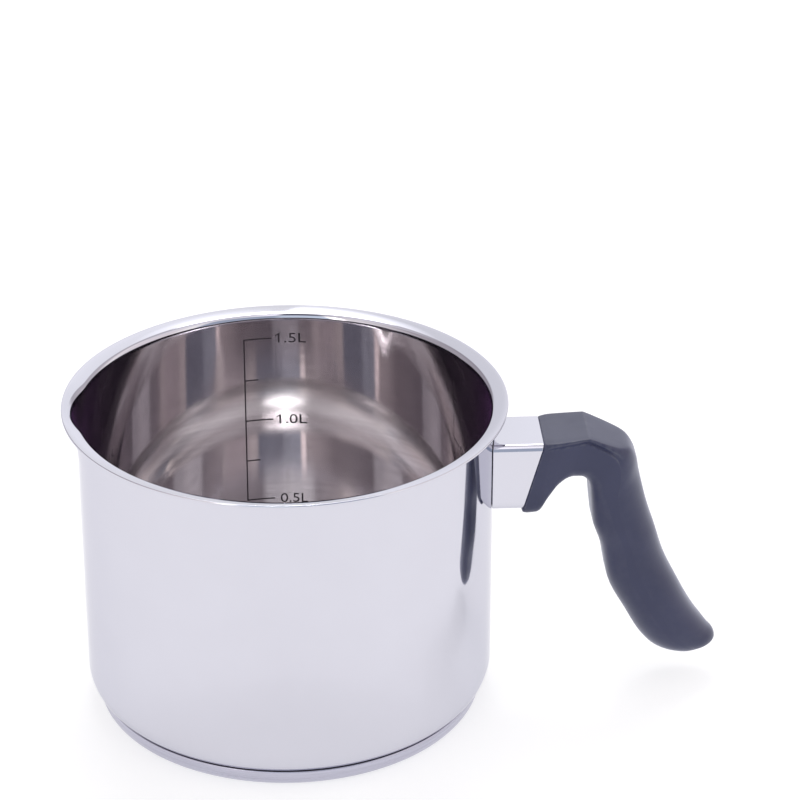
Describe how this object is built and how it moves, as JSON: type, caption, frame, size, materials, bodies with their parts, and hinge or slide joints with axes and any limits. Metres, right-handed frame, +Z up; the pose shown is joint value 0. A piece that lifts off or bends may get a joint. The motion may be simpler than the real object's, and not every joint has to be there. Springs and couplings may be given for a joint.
{
  "type": "milk pan",
  "caption": "Tall round stainless-steel milk pan with a flared pouring rim, a sandwich base, a square metal ferrule and a dark pistol-shaped grip for heating and pouring milk.",
  "frame": {"origin": "centre of the base, on the surface that the pan stands on", "axes": "+X points from the pan's axis towards the handle, -X towards the spout, +Z is up"},
  "size_m": [0.2267, 0.1516, 0.1124],
  "materials": {
    "body_steel": "polished outside, satin inside",
    "base_steel": "satin",
    "disc_aluminium": "raw",
    "ferrule_steel": "polished",
    "tang_steel": "raw",
    "grip_moulding": "satin",
    "fastener_steel": "zinc plated"
  },
  "bodies": {
    "root": {"pan_body": "body_steel", "base_cap": "base_steel", "heat_disc": "disc_aluminium", "handle_ferrule": "ferrule_steel", "handle_tang": "tang_steel", "handle_grip": "grip_moulding", "handle_screw": "fastener_steel", "flat_washer": "fastener_steel", "spring_washer": "fastener_steel"}
  },
  "joints": []
}
